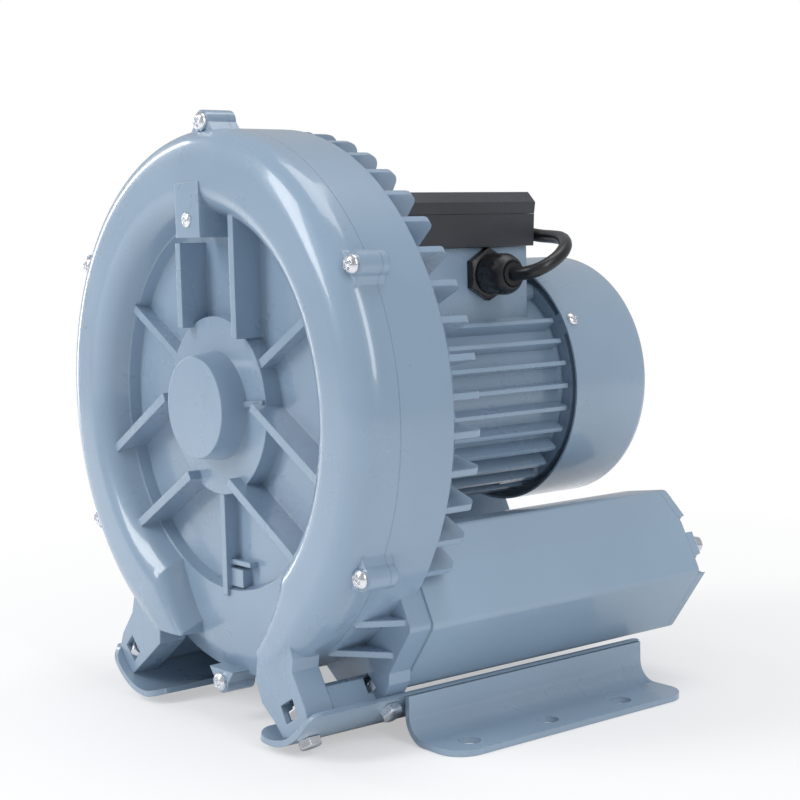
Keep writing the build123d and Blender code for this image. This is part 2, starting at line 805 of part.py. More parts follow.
def rear_shield():
    """End shield with the rear bearing seat and four ears for the fan cowl."""
    y0, y1 = frame_end_y, frame_end_y + shield_t
    seat_y = rear_bearing_y - 2
    body = turned(
        (bearing_od_r + fit_gap, seat_y),
        (shield_hub_r, seat_y),
        (shield_hub_r + 1, y0 - 1),
        (frame_bore_r - 6, y0 - 1),
        (frame_bore_r - 5, y0 - spigot_len),
        (frame_bore_r - seat_gap, y0 - spigot_len),
        (frame_bore_r - seat_gap, y0),
        (shield_r, y0),
        (shield_r, y1 - 2),
        (shield_r - 2, y1),
        (fan_journal_r + 4, y1),
        (fan_journal_r + 4, y1 - 1.5),
        (bearing_od_r + fit_gap, y1 - 1.5),
    )
    ear_mid = (shield_r - 4 + cowl_r - cowl_t - seat_gap) / 2
    ear_len = fan_y[0] - 1 - y0
    ear = Pos(ear_mid, y0 + ear_len / 2, 0) * Box(2 * (cowl_r - cowl_t - seat_gap - ear_mid), ear_len, 12)
    ear = ear & disc(cowl_r - cowl_t - seat_gap, y0, y1 + 20)
    holes = around(
        shield_screw_angles, rod(shield_screw_pitch_r, 0, shield_screw_r + seat_gap, y0 - 1, y1 + 1)
    )
    for angle in cowl_screw_angles:
        hole = Pos(cowl_r, cowl_screw_y, 0) * Rot(0, 90, 0) * Cylinder(1.5 + seat_gap, 14)
        holes.append(at_angle(angle, hole))
    return body + around(cowl_screw_angles, ear) - holes


def shield_screws():
    y = frame_end_y + shield_t
    screw = disc(3.5, y, y + 3) + disc(shield_screw_r, y - shield_screw_len, y)
    return around(shield_screw_angles, Pos(shield_screw_pitch_r, 0, 0) * screw)


def fan_cowl():
    """Pressed sheet cowl with a slotted rear face."""
    front = cowl_front_y
    outer = FilletPolyline((cowl_r, front), (cowl_r, cowl_end_y), (0, cowl_end_y), radius=cowl_round)
    inner = FilletPolyline(
        (0, cowl_end_y - cowl_t), (cowl_r - cowl_t, cowl_end_y - cowl_t), (cowl_r - cowl_t, front),
        radius=cowl_round - cowl_t,
    )
    edge = Line((cowl_r - cowl_t, front), (cowl_r, front))
    axis_line = Line((0, cowl_end_y), (0, cowl_end_y - cowl_t))
    shell = revolve(make_face(outer + axis_line + inner + edge), axis=Axis.Y)
    slots = []
    for r_from, r_to, width in ((16, 32, 2.6), (36, 56, 4.0)):
        slot = along_y(Pos((r_from + r_to) / 2, 0) * Rectangle(r_to - r_from, width), cowl_end_y - 3, cowl_end_y + 1)
        slots += around([360.0 * i / cowl_slot_count for i in range(cowl_slot_count)], slot)
    for angle in cowl_screw_angles:
        hole = Pos(cowl_r, cowl_screw_y, 0) * Rot(0, 90, 0) * Cylinder(1.5 + seat_gap, 8)
        slots.append(at_angle(angle, hole))
    return shell - slots


def cowl_screws():
    """Cross-head screws through the side of the cowl into the shield's ears."""
    head = Cone(3.6, 2.4, 2.2, align=(Align.CENTER, Align.CENTER, Align.MIN))
    shank = Pos(0, 0, -5.5) * Cylinder(1.5, 5.5, align=(Align.CENTER, Align.CENTER, Align.MIN))
    screw = Pos(cowl_r + 0.05, cowl_screw_y, 0) * Rot(0, 90, 0) * (head + shank)
    return around(cowl_screw_angles, screw)


def cooling_fan():
    """Moulded fan: hub, back disc and straight blades."""
    y0, y1 = fan_y
    body = ring(fan_journal_r + fit_gap, 13.0, y0, y1) + ring(12.0, fan_r - 6, y0, y0 + 2)
    blade = Pos((12 + fan_r) / 2, (y0 + y1) / 2, 0) * Box(fan_r - 12, y1 - y0, 2.0)
    return body + around([360.0 * i / fan_blades for i in range(fan_blades)], blade)


def fan_clip():
    return ring(fan_journal_r + fit_gap, fan_journal_r + 3, fan_y[1] + 0.1, fan_y[1] + 1.3)


# Terminal housing

def box_section(half_top, half_low, z_low, z_high, lip):
    """Section of the box or lid with a sloping shoulder."""
    return draw(
        (-half_low, z_low), (half_low, z_low), (half_top, z_low + lip), (half_top, z_high - lip),
        (half_top - lip, z_high), (-half_top + lip, z_high), (-half_top, z_high - lip), (-half_top, z_low + lip),
    )


def capacitor_box():
    """Lower half of the black box, open towards the lid."""
    outline = draw(
        (-box_half_x, base_top_z + 0.1), (box_half_x, base_top_z + 0.1),
        (box_half_x + 1, box_split_z), (-box_half_x - 1, box_split_z),
    )
    body = along_y(outline, box_y[0], box_y[1])
    mid_y = (box_y[0] + box_y[1]) / 2
    floor_z = base_top_z + box_wall
    room = Pos(0, mid_y, (floor_z + box_split_z) / 2 + 1) * Box(
        2 * (box_half_x - box_wall), box_y[1] - box_y[0] - 2 * box_wall, box_split_z - floor_z + 2
    )
    wire_hole = Pos(0, mid_y - 30, base_top_z) * Cylinder(9, 8)
    x, z = grommet_at
    lead_hole = rod(x, z, grommet_r + seat_gap, box_y[1] - box_wall - 1, box_y[1] + 1)
    posts = [Pos(sx * 36, y, (floor_z + box_split_z) / 2) * Box(8, 8, box_split_z - floor_z) for sx, y in lid_corners()]
    holes = [Pos(sx * 36, y, box_split_z) * Cylinder(1.5 + seat_gap, 18) for sx, y in lid_corners()]
    return body - room + posts - wire_hole - lead_hole - holes


def lid_corners():
    """Side sign and station of each lid screw."""
    return [(sx, y) for sx in (-1, 1) for y in (box_y[0] + 8, box_y[1] - 8)]


def box_lid():
    """Lid with a sloping shoulder that overhangs the box."""
    body = along_y(box_section(box_lid_half_x, box_half_x + 1, box_split_z + 0.1, box_top_z, 5.5), box_y[0], box_y[1])
    mid_y = (box_y[0] + box_y[1]) / 2
    room = Pos(0, mid_y, box_split_z + 3.5) * Box(62, box_y[1] - box_y[0] - 2 * box_wall, 9)
    holes = [Pos(sx * 36, y, box_top_z) * Cylinder(1.5 + seat_gap, 30) for sx, y in lid_corners()]
    wells = [Pos(sx * 36, y, box_top_z) * Cylinder(3.6, 6) for sx, y in lid_corners()]
    return body - room - holes - wells


def lid_screws():
    """Countersunk in wells on top of the lid."""
    made = []
    for sx, y in lid_corners():
        head = Pos(sx * 36, y, box_top_z - 1.9) * Cylinder(3.2, 2.0)
        shank = Pos(sx * 36, y, box_top_z - 9.5) * Cylinder(1.5, 14)
        made.append(head + shank)
    return made


def terminal_block():
    """Row of three cable clamps on the floor of the terminal housing."""
    body = Pos(0, 144, base_floor_z + 6) * Box(18, 30, 12)
    wells = [Pos(0, 144 + step * 9, base_floor_z + 12) * Cylinder(2.4, 8) for step in (-1, 0, 1)]
    return body - wells


def capacitor():
    """Round running capacitor lying in the box."""
    r = 9.5
    z = base_top_z + box_wall + r + 0.05
    body = rod(-14, z, r, 74, 128)
    tabs = [Pos(-14 + side, 131, z) * Box(1.0, 6, 6) for side in (-4, 4)]
    return body + tabs


# Gland and lead

def on_gland(x, solid):
    """Place a solid made along +Z so that it leaves the terminal housing along +X."""
    return Pos(x, gland_y, gland_z) * Rot(0, 90, 0) * solid


def gland_body():
    low = (Align.CENTER, Align.CENTER, Align.MIN)
    flange = extrude(RegularPolygon(gland_af / 2, 6, major_radius=False), gland_hex_t)
    thread = Pos(0, 0, -gland_thread_len) * Cylinder(gland_thread_r, gland_thread_len, align=low)
    collar = Pos(0, 0, gland_hex_t) * Cylinder(8.0, 8.0, align=low)
    return on_gland(base_half_x + 0.05, flange + thread + collar)


def gland_nut():
    """Domed nut with flats that grips the lead's seal."""
    x0 = gland_hex_t + 0.6
    x1 = dome_end_x - base_half_x
    profile = make_face(
        Polyline((8.1, x0), (dome_r, x0), (dome_r, x0 + 7))
        + ThreePointArc((dome_r, x0 + 7), (dome_r - 1.2, x0 + 11.5), (seal_plug_r + 1.5, x1))
        + Polyline((seal_plug_r + 1.5, x1), (seal_plug_r + 0.1, x1), (seal_plug_r + 0.1, 13.2), (8.1, 13.2), (8.1, x0))
    )
    shell = revolve(Plane.XZ * profile, axis=Axis.Z)
    flats = [Rot(0, 0, 45 * i) * Pos(dome_r + 1.4, 0, x0 + 3.5) * Box(4, 3.0, 9) for i in range(8)]
    return on_gland(base_half_x, shell - flats)


def gland_seal():
    low = (Align.CENTER, Align.CENTER, Align.MIN)
    x0 = 13.2
    x1 = dome_end_x - base_half_x + 0.6
    return on_gland(base_half_x, Pos(0, 0, x0) * Cylinder(seal_plug_r, x1 - x0, align=low))


def lead_grommet():
    """Rubber bush where the lead goes into the box."""
    x, z = grommet_at
    flange = rod(x, z, 6.0, box_y[1], box_y[1] + grommet_t)
    return flange + rod(x, z, grommet_r, box_y[1] - box_wall, box_y[1])


lead_start = (dome_end_x + 0.6, gland_y, gland_z)
lead_end = (grommet_at[0], box_y[1] + grommet_t, grommet_at[1])
lead_route = (
    lead_start,
    (70.0, gland_y, gland_z),
    (77.5, 150.0, 62.5),
    (79.0, 160.5, 68.0),
    (74.0, 171.0, 73.5),
    (62.0, 180.5, 77.5),
    (48.0, 186.5, 78.5),
    (35.0, 189.5, 79.0),
    (grommet_at[0], 187.0, grommet_at[1]),
    lead_end,
)


def lead():
    """Round lead along straight runs joined by tangent arcs."""
    points = [Vector(*p) for p in lead_route]
    radii = []
    for before, here, after in zip(points, points[1:], points[2:]):
        turn = math.radians((here - before).get_angle(after - here))
        shorter = min((here - before).length, (after - here).length)
        radii.append(0.45 * shorter / math.tan(turn / 2))
    path = FilletPolyline(*points, radius=tuple(radii))
    start = Plane(origin=path @ 0, z_dir=path % 0)
    tube = sweep(start * Circle(lead_r), path=path)
    print("lead radii", [round(r, 1) for r in radii], "length", round(path.length, 1))
    print("lead volume", round(tube.volume), "section times length", round(math.pi * lead_r**2 * path.length))
    return tube


# Silencers

def muffler_body():
    """Extruded silencer tube."""
    return along_y(muffler_section() - muffler_section(muffler_wall), muffler_front_y, muffler_end_y)


def muffler_cap():
    """End cap with the threaded port, notched on both sides of its screw."""
    x, z = muffler_mid
    y0, y1 = muffler_end_y, muffler_end_y + muffler_cap_t
    body = along_y(muffler_section(), y0, y1) + rod(x, z, port_boss_r, y1 - 1, y1 + port_boss_len)
    body = body - rod(x, z, port_r, y0 - 1, y1 + port_boss_len + 1)
    screw_x, screw_z = cap_screw_place()
    notches = [rod(screw_x + dx, screw_z + dz, cap_notch_r, y0 - 1, y1 + 1) for dx, dz in ((-3.5, 10.5), (7.5, -8.5))]
    return body - notches - rod(screw_x, screw_z, cap_screw_r + seat_gap, y0 - 1, y1 + 1)


def cap_screw_place():
    """Middle of the screw, just inside the silencer's outer face."""
    return (muffler_outline[1][0] + muffler_outline[2][0]) / 2 - 4.0, -87.0


def cap_screw():
    x, z = cap_screw_place()
    y = muffler_end_y + muffler_cap_t
    head = along_y(Pos(x, z) * RegularPolygon(4.5, 6, major_radius=False), y, y + 4.5)
    return head + rod(x, z, cap_screw_r, y - muffler_cap_t, y)


def muffler_liner():
    """Sound-absorbing tube standing between the duct and the port."""
    x, z = muffler_mid
    return rod(x, z, liner_r, muffler_front_y, muffler_end_y) - rod(
        x, z, liner_r - liner_t, muffler_front_y - 1, muffler_end_y + 1
    )


os.makedirs("parts", exist_ok=True)

save("front_cover", front_cover())
save("cover_screws", *cover_screws())
save("pad_screw", pad_screw())
save("blower_housing", blower_housing())
save("impeller", impeller())
save("impeller_key", key_block(0))
save("impeller_washer", impeller_washer())
save("impeller_screw", impeller_screw())
save("shaft", shaft())
save("shaft_seal", ring(seal_journal_r + 0.1, seal_od_r, front_bearing_y - seal_w - 0.1, front_bearing_y - 0.1))
save("front_bearing_outer", race_outer(front_bearing_y))
save("front_bearing_inner", race_inner(front_bearing_y))
save("rear_bearing_outer", race_outer(rear_bearing_y))
save("rear_bearing_inner", race_inner(rear_bearing_y))
save(
    "preload_washer",
    ring(race_split_r + 2, bearing_od_r - 0.3, rear_bearing_y + bearing_w, frame_end_y + shield_t - 1.6),
)
save("rotor_core", ring(core_journal_r + fit_gap, rotor_r, core_front_y, core_end_y))
save("rotor_end_rings", *rotor_cage())
save("stator_core", ring(rotor_r + air_gap, frame_bore_r - fit_gap, core_front_y, core_end_y))
save("windings", *windings())
save("motor_frame", motor_frame())
save("rear_shield", rear_shield())
save("shield_screws", *shield_screws())
save("cooling_fan", cooling_fan())
save("fan_clip", fan_clip())
save("fan_cowl", fan_cowl())
save("cowl_screws", *cowl_screws())
save("terminal_block", terminal_block())
save("capacitor_box", capacitor_box())
save("capacitor", capacitor())
save("box_lid", box_lid())
save("lid_screws", *lid_screws())
save("gland_body", gland_body())
save("gland_nut", gland_nut())
save("gland_seal", gland_seal())
save("lead_grommet", lead_grommet())
save("lead", lead())
for side, pick in (("right", 0), ("left", 1)):
    save("muffler_body_" + side, both_sides(muffler_body())[pick])
    save("muffler_cap_" + side, both_sides(muffler_cap())[pick])
    save("muffler_cap_screw_" + side, both_sides(cap_screw())[pick])
    save("muffler_liner_" + side, both_sides(muffler_liner())[pick])
save("foot_rail_right", foot_rail(cover_bolt_right))
save("foot_rail_left", mirror(foot_rail(cover_bolt_left), about=Plane.YZ))
save("leg_bolts", *at_leg_bolts(leg_bolt))
save("leg_nuts", *at_leg_bolts(leg_nut))
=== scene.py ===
"""Looks of a side-channel blower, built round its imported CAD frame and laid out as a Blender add-on."""

import json
import math

import bpy
import numpy as np
from mathutils import Matrix, Vector


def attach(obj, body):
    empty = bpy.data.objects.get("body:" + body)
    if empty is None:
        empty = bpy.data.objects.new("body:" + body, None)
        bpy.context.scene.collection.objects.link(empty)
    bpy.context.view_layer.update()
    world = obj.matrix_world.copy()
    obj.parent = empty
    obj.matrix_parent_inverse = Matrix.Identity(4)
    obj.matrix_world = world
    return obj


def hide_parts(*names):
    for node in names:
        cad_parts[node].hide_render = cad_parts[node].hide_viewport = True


bl_info = {
    "name": "Side-channel blower looks",
    "version": (1, 0, 0),
    "blender": (4, 2, 0),
    "location": "View3D > Sidebar > Blower",
    "description": "Paint, plastics, screws, lead, light and camera for the blower frame",
    "category": "Object",
}

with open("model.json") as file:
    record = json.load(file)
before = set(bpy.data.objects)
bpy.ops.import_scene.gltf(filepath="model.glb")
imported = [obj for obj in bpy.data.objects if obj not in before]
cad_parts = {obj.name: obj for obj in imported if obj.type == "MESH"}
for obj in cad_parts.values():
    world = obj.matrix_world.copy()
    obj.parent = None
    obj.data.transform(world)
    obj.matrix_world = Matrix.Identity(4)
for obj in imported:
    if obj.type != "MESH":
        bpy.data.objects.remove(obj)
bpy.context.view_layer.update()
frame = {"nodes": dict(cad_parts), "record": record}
NODES = frame["nodes"]

MM = 0.001
SHAFT_Z = 0.158
FOOT_MID_Y = 0.112
FRONT = (0, -1, 0)
BACK = (0, 1, 0)
RIGHT = (1, 0, 0)
UP = (0, 0, 1)

# Columns of the surface grids, and the radius at which a profile ends on its axis
COLUMNS_SCREW = 72
COLUMNS_HEXAGON = 96
COLUMNS_GLAND = 144
POLE_R = 1e-6

# Edges past the first angle stay sharp on new pieces, and past the second on the CAD nodes
SHARP_EDGE = math.radians(38)
SMOOTH_EDGE = math.radians(24)

# Distance within which the doubled corners of a CAD node are merged, in metres
MERGE_GAP = 0.000002

# Stage, in metres
FLOOR_HALF = 6.0
FLOOR_DROP = 0.0002
LAMP_AIM = Vector((0, 0, 0.15))

# Places of the fasteners and the gland, in millimetres from the shaft and the lugs' front, and degrees
LUG_PITCH_MM = 138.0
LUG_COUNT = 6
LUG_FIRST_ANGLE = 30
PAD_SCREW_PLACE = (0, -10.0, 91.0)
COWL_SCREW_R = 67.05
COWL_SCREW_Y = 190.0
COWL_SCREW_ANGLES = (31.0, 149.0, 250.0)
LID_SCREW_PLACES = [(x, y, 99.7) for x in (-36, 36) for y in (71.0, 167.6)]
TROUGH_X = 59.0
TROUGH_Z = -117.0
CAP_SCREW_PLACE = (102.5, 232.0, -87.0)
GLAND_MM = (144.5, 60.0)
GLAND_FACE_X = 40.0
GLAND_GAP = 0.05

# Side, station in millimetres and angle in degrees of each leg bolt
LEG_BOLTS = ((1, -2.0, 30.0), (1, 37.5, 50.0), (-1, -2.0, 45.0), (-1, 37.5, 50.0))

# Shanks of the cover's and the pad's screws: radius and length, in metres
COVER_SHANK = (0.0025, 0.0135)
PAD_SHANK = (0.002, 0.009)

# Screws of the cowl and the lid: the head's radius and height, the shank's radius and length, in metres
COWL_SCREW = (0.0035, 0.0022, 0.0015, 0.0055)
LID_SCREW = (0.0032, 0.0018, 0.0015, 0.0080)

# Turns of the cover screws' crosses in radians, so that no two stand alike
CROSS_FIRST_TURN = 0.5
CROSS_NEXT_TURN = 1.7

# Hexagon bolts: width across flats and height of the head, radius and length of the shank, in metres
LEG_BOLT = (0.010, 0.004, 0.003, 0.017)
CAP_SCREW = (0.0078, 0.0045, 0.0025, 0.005)

# Hexagon nut: width across flats, height and radius of the bore, in metres
LEG_NUT = (0.010, 0.005, 0.00303)

# Distances of the leg bolts' heads and nuts from the centre line of the rail's trough, in metres
LEG_BOLT_SEAT = 0.038
LEG_NUT_SEAT = 0.023

# Hexagon of the gland's body: width across flats and height, in metres
GLAND_ACROSS = 0.024
GLAND_HEXAGON_T = 0.005

# Lead route, the same points as the source's, in millimetres from the shaft and the cover's lugs
LEAD_ROUTE_MM = (
    (62.6, 144.5, 60.0),
    (70.0, 144.5, 60.0),
    (77.5, 150.0, 62.5),
    (79.0, 160.5, 68.0),
    (74.0, 171.0, 73.5),
    (62.0, 180.5, 77.5),
    (48.0, 186.5, 78.5),
    (35.0, 189.5, 79.0),
    (27.5, 187.0, 80.5),
    (27.5, 178.2, 80.5),
)


def from_shaft(x, y, z):
    """A point given in millimetres from the shaft and the front of the lugs, in the row frame in metres."""
    return Vector((x * MM, y * MM - FOOT_MID_Y, z * MM + SHAFT_Z))


# Settings

def colour_setting(name, description, default):
    return bpy.props.FloatVectorProperty(
        name=name, description=description, default=default, subtype="COLOR", size=3, min=0.0, max=1.0
    )


def length_setting(name, description, default):
    return bpy.props.FloatProperty(
        name=name, description=description, default=default, min=0.0, unit="LENGTH", subtype="DISTANCE",
        precision=5,
    )


class BlowerPaint(bpy.types.PropertyGroup):
    """Colours and grain of the painted, plastic and metal parts."""

    cast: colour_setting("Casting paint", "Blue-grey paint on the castings", (0.258, 0.356, 0.470))
    sheet: colour_setting("Sheet paint", "The same paint on pressed sheet", (0.272, 0.368, 0.474))
    # The silencers carry the casting paint made about a tenth lighter: painted light for the brighter light
    # that falls on them
    silencer_lit: colour_setting("Silencer paint", "Paint on the extruded silencers", (0.285, 0.388, 0.500))
    box: colour_setting("Box plastic", "Black plastic of the capacitor box", (0.040, 0.044, 0.052))
    gland: colour_setting("Gland plastic", "Black plastic of the cable gland", (0.012, 0.012, 0.014))
    lead: colour_setting("Lead jacket", "Black jacket of the lead", (0.011, 0.011, 0.013))
    zinc: colour_setting("Zinc plating", "Bright plating of screws and nuts", (0.82, 0.83, 0.85))
    edge_radius: length_setting("Edge radius", "Softness of the castings' edges in the shading", 0.0011)
    grain: length_setting("Orange peel", "Size of the grain in the paint", 0.0013)


class BlowerSizes(bpy.types.PropertyGroup):
    """Sizes of the pieces that are modelled here."""

    lead_diameter: length_setting("Lead diameter", "Outside diameter of the lead", 0.007)
    cover_head_r: length_setting("Cover screw head", "Radius of the cover screws' heads", 0.0046)
    cover_head_h: length_setting("Cover head height", "Height of the cover screws' heads", 0.0036)
    pad_head_r: length_setting("Pad screw head", "Radius of the pad screw's head", 0.0036)
    pad_head_h: length_setting("Pad head height", "Height of the pad screw's head", 0.0022)


class BlowerStage(bpy.types.PropertyGroup):
    """Camera and light."""

    yaw: bpy.props.FloatProperty(
        name="Camera heading", description="Turn of the camera about the upright",
        default=math.radians(51.96), subtype="ANGLE",
    )
    pitch: bpy.props.FloatProperty(
        name="Camera tilt", description="How far the camera looks down",
        default=math.radians(5.49), subtype="ANGLE",
    )
    roll: bpy.props.FloatProperty(
        name="Camera roll", description="Turn of the camera about its own axis",
        default=math.radians(-1.46), subtype="ANGLE",
    )
    lens: bpy.props.FloatProperty(
        name="Lens", description="Focal length on a 36 mm sensor", default=75.55, min=10.0, unit="CAMERA"
    )
    place: bpy.props.FloatVectorProperty(
        name="Camera place", description="Where the camera stands", default=(0.70370, -0.54506, 0.23754),
        subtype="TRANSLATION", unit="LENGTH",
    )


# Node helpers

class Nodes:
    """A material's node tree with short calls for what the recipes below use."""

    def __init__(self, name):
        self.material = bpy.data.materials.new(name)
        self.material.use_nodes = True
        self.tree = self.material.node_tree
        self.shader = self.tree.nodes["Principled BSDF"]
        self.coords = self.tree.nodes.new("ShaderNodeTexCoord").outputs["Object"]

    def add(self, kind, links=(), **settings):
        """A node, with its properties set and its inputs set or linked by name."""
        node = self.tree.nodes.new(kind)
        for key, value in settings.items():
            setattr(node, key, value)
        for key, value in links:
            if isinstance(value, bpy.types.NodeSocket):
                self.tree.links.new(value, node.inputs[key])
            else:
                node.inputs[key].default_value = value
        return node

    def stretched(self, scale):
        """Object coordinates scaled by three numbers."""
        return self.add("ShaderNodeMapping", [("Vector", self.coords), ("Scale", scale)]).outputs["Vector"]

    def noise(self, scale, detail=3.0, rough=0.5, vector=None):
        """Noise between 0 and 1."""
        links = [
            ("Vector", vector or self.coords), ("Scale", scale), ("Detail", detail), ("Roughness", rough),
        ]
        return self.add("ShaderNodeTexNoise", links).outputs["Fac"]

    def ranged(self, value, low, high, out_low, out_high):
        """The value mapped from one range to another and clamped."""
        links = [
            ("Value", value), ("From Min", low), ("From Max", high), ("To Min", out_low),
            ("To Max", out_high),
        ]
        return self.add("ShaderNodeMapRange", links).outputs["Result"]

    def mixed(self, share, first, second):
        """Two colours mixed by a share."""
        node = self.add("ShaderNodeMix", data_type="RGBA")
        for index, value in ((0, share), (6, first), (7, second)):
            if isinstance(value, bpy.types.NodeSocket):
                self.tree.links.new(value, node.inputs[index])
            else:
                node.inputs[index].default_value = value
        return node.outputs[2]

    def sum(self, first, second, weight):
        """First plus second times weight."""
        links = [(0, second), (1, weight), (2, first)]
        return self.add("ShaderNodeMath", links, operation="MULTIPLY_ADD").outputs[0]

    def finish(self, colour, rough, height=None, depth=0.0001, edge=0.0, **sockets):
        """Wire colour, roughness and bump into the shader and set its other sockets."""
        self.tree.links.new(colour, self.shader.inputs["Base Color"])
        self.tree.links.new(rough, self.shader.inputs["Roughness"])
        normal = None
        if edge > 0:
            normal = self.add("ShaderNodeBevel", [("Radius", edge)], samples=6).outputs["Normal"]
        if height is not None:
            links = [("Height", height), ("Distance", depth), ("Strength", 1.0)]
            if normal:
                links.append(("Normal", normal))
            normal = self.add("ShaderNodeBump", links).outputs["Normal"]
        if normal:
            self.tree.links.new(normal, self.shader.inputs["Normal"])
        for key, value in sockets.items():
            self.shader.inputs[key.replace("_", " ")].default_value = value
        return self.material


def rgba(colour, gain=1.0):
    """A colour with full alpha, made lighter or darker by a gain."""
    return tuple(min(1.0, c * gain) for c in colour) + (1.0,)


def paint_material(name, colour, grain, edge, rough_low, rough_high, draw_lines=False):
    """Satin paint: slow cloudiness, fine orange peel, slightly lighter where it is thick."""
    n = Nodes(name)
    cloud = n.noise(9.0, 3.0, 0.55)
    speck = n.noise(420.0, 2.0, 0.6)
    base = n.mixed(n.ranged(cloud, 0.3, 0.7, 0.0, 1.0), rgba(colour, 0.94), rgba(colour, 1.07))
    base = n.mixed(n.ranged(speck, 0.55, 0.80, 0.0, 0.10), base, rgba(colour, 0.88))
    peel = n.noise(1.0 / grain, 2.0, 0.45)
    height = n.sum(peel, n.noise(70.0, 2.0, 0.5), 2.2)
    if draw_lines:
        lines = n.noise(900.0, 1.0, 0.5, vector=n.stretched((1.0, 0.012, 1.0)))
        height = n.sum(height, lines, 0.7)
    rough = n.ranged(n.noise(26.0, 4.0, 0.6), 0.3, 0.7, rough_low, rough_high)
    return n.finish(
        base, rough, height, 0.00006, edge, Specular_IOR_Level=0.5, Coat_Weight=0.75, Coat_Roughness=0.09
    )


def plastic_material(name, colour, grain_scale, rough_low, rough_high, edge=0.0006, depth=0.00008):
    """Moulded plastic: fine spark grain, worn smoother in patches."""
    n = Nodes(name)
    cloud = n.noise(18.0, 3.0, 0.5)
    base = n.mixed(n.ranged(cloud, 0.3, 0.7, 0.0, 1.0), rgba(colour, 0.85), rgba(colour, 1.2))
    grain = n.add("ShaderNodeTexVoronoi", [("Vector", n.coords), ("Scale", grain_scale)]).outputs["Distance"]
    rough = n.ranged(n.noise(45.0, 4.0, 0.6), 0.3, 0.7, rough_low, rough_high)
    return n.finish(base, rough, grain, depth, edge, Specular_IOR_Level=0.5)


def metal_material(name, colour, rough_low, rough_high, vector_scale=(1.0, 1.0, 1.0), line_scale=900.0,
                   depth=0.00002, tint=None):
    """Bare metal: machining or drawing lines, duller patches and a slight tint."""
    n = Nodes(name)
    patch = n.noise(60.0, 4.0, 0.6)
    base = n.mixed(n.ranged(patch, 0.35, 0.7, 0.0, 1.0), rgba(colour, 0.86), rgba(tint or colour, 1.05))
    lines = n.noise(line_scale, 2.0, 0.5, vector=n.stretched(vector_scale))
    rough = n.ranged(n.sum(patch, lines, 0.5), 0.4, 1.0, rough_low, rough_high)
    return n.finish(base, rough, lines, depth, 0.0003, Metallic=1.0)


def banded_material(name, dark, light, pitch, metallic, rough_low, rough_high):
    """Stacked sheets or wound wire: even bands along the shaft with uneven colour."""
    n = Nodes(name)
    bands = n.add(
        "ShaderNodeTexWave",
        [("Vector", n.coords), ("Scale", 0.5 / pitch), ("Distortion", 0.6), ("Detail", 1.0)],
        wave_type="BANDS", bands_direction="Y",
    ).outputs["Fac"]
    patch = n.noise(120.0, 3.0, 0.6)
    base = n.mixed(n.ranged(n.sum(bands, patch, 0.6), 0.4, 1.3, 0.0, 1.0), rgba(dark), rgba(light))
    rough = n.ranged(patch, 0.3, 0.7, rough_low, rough_high)
    return n.finish(base, rough, bands, 0.0002, 0.0, Metallic=metallic)


def foam_material(name, colour):
    """Open-cell foam: pitted cells whose hollows are painted dark as painted shade."""
    n = Nodes(name)
    cells = n.add("ShaderNodeTexVoronoi", [("Vector", n.coords), ("Scale", 420.0)]).outputs["Distance"]
    # Painted shade: the colour goes dark in the pits of the cells, where the bump sinks the surface
    base = n.mixed(n.ranged(cells, 0.1, 0.6, 0.0, 1.0), rgba(colour, 0.35), rgba(colour, 1.3))
    rough = n.ranged(cells, 0.0, 0.7, 0.85, 1.0)
    return n.finish(base, rough, cells, 0.0012, 0.0)


def rubber_material(name, colour):
    """Matt rubber with a faint bloom."""
    n = Nodes(name)
    bloom = n.noise(35.0, 4.0, 0.65)
    base = n.mixed(n.ranged(bloom, 0.45, 0.75, 0.0, 1.0), rgba(colour), rgba(colour, 2.2))
    rough = n.ranged(bloom, 0.3, 0.7, 0.55, 0.78)
    return n.finish(base, rough, n.noise(900.0, 2.0, 0.5), 0.00005, 0.0004)


MATERIALS = {}


def material_for(slot):
    """The finish made for a material slot."""
    return MATERIALS[slot]


